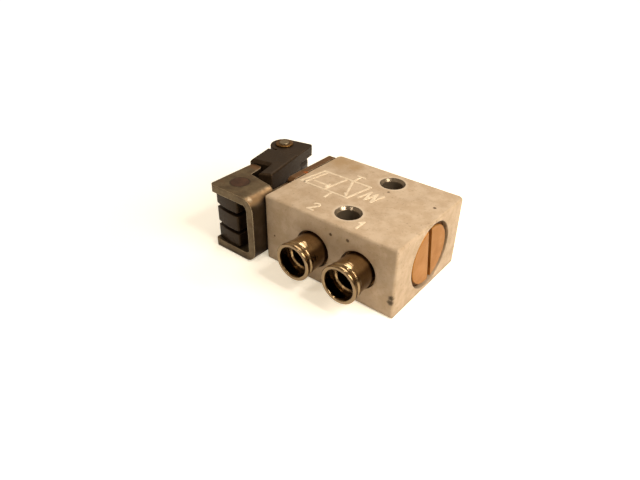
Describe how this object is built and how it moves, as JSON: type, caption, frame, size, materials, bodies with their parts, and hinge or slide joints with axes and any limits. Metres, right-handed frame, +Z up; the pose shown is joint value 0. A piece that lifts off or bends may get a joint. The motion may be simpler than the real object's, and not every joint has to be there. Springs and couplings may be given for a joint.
{
  "type": "roller lever valve",
  "caption": "Small pneumatic roller-lever valve: block body with tube sockets, bent bracket and pivoted moulded lever that pushes a sprung plunger.",
  "frame": {"origin": "on the bottom face, midway between the two mounting holes", "axes": "+X along the valve's working axis from the lever to the slotted plug, +Y away from the tube sockets, +Z up through the mounting holes"},
  "size_m": [0.0525, 0.0337, 0.0173],
  "materials": {
    "die_cast_body": "die-cast light alloy, matt, slightly speckled and stained",
    "plug_brass": "turned brass, satin, aged",
    "turned_brass": "turned brass",
    "washer_brass": "pressed brass, tarnished",
    "sleeve_brass": "turned brass, bright",
    "plated_fitting": "nickel-plated brass, worn and warm in tone",
    "turned_steel": "turned steel",
    "spring_steel": "drawn spring wire",
    "bracket_sheet": "zinc-plated steel sheet, dulled, with rust",
    "rusted_pin": "steel, rusted",
    "lever_moulding": "moulded glass-filled plastic, worn",
    "roller_moulding": "moulded plastic",
    "seal_rubber": "nitrile rubber"
  },
  "bodies": {
    "housing": {"valve_body": "die_cast_body", "end_plug": "plug_brass", "end_plug_seal": "seal_rubber", "seat_ring": "turned_brass", "seat_ring_seal": "seal_rubber", "guide_bush": "turned_brass", "guide_bush_seal": "seal_rubber", "plunger_seal": "seal_rubber", "plunger_spring": "spring_steel", "poppet_spring": "spring_steel", "outlet_fitting": "plated_fitting", "outlet_fitting_washer": "seal_rubber", "outlet_tube_sleeve": "sleeve_brass", "outlet_tube_seal": "seal_rubber", "supply_fitting": "plated_fitting", "supply_fitting_washer": "seal_rubber", "supply_tube_sleeve": "sleeve_brass", "supply_tube_seal": "seal_rubber", "bracket": "bracket_sheet", "bracket_screws": "turned_steel", "hinge_pin": "rusted_pin"},
    "lever": {"lever_arm": "lever_moulding", "roller_pin": "turned_steel", "roller_pin_washer": "washer_brass"},
    "roller": {"roller": "roller_moulding"},
    "plunger": {"plunger": "turned_steel"},
    "poppet": {"poppet": "turned_brass", "poppet_seal": "seal_rubber"}
  },
  "joints": [
    {"name": "lever_hinge", "type": "hinge", "parent": "housing", "child": "lever", "pos_m": [-0.0263, -0.0127, 0.008], "axis": [0, 0, -1], "range_deg": [0, 10], "stiffness_Nm_per_rad": 0.07, "springref_deg": -14.32},
    {"name": "roller_spin", "type": "hinge", "parent": "lever", "child": "roller", "pos_m": [-0.03165, 0.0079, 0.008], "axis": [0, 0, 1], "continuous": true},
    {"name": "plunger_slide", "type": "slide", "parent": "housing", "child": "plunger", "axis": [1, 0, 0], "range_m": [0, 0.0021], "deforming": ["plunger_spring"]},
    {"name": "poppet_slide", "type": "slide", "parent": "housing", "child": "poppet", "axis": [1, 0, 0], "range_m": [0, 0.0015], "deforming": ["poppet_spring"]}
  ],
  "couplings": [
    {"joint": "plunger_slide", "follows": "lever_hinge", "m_per_rad": 0.012032},
    {"joint": "poppet_slide", "follows": "lever_hinge", "m_per_rad": 0.008594}
  ]
}
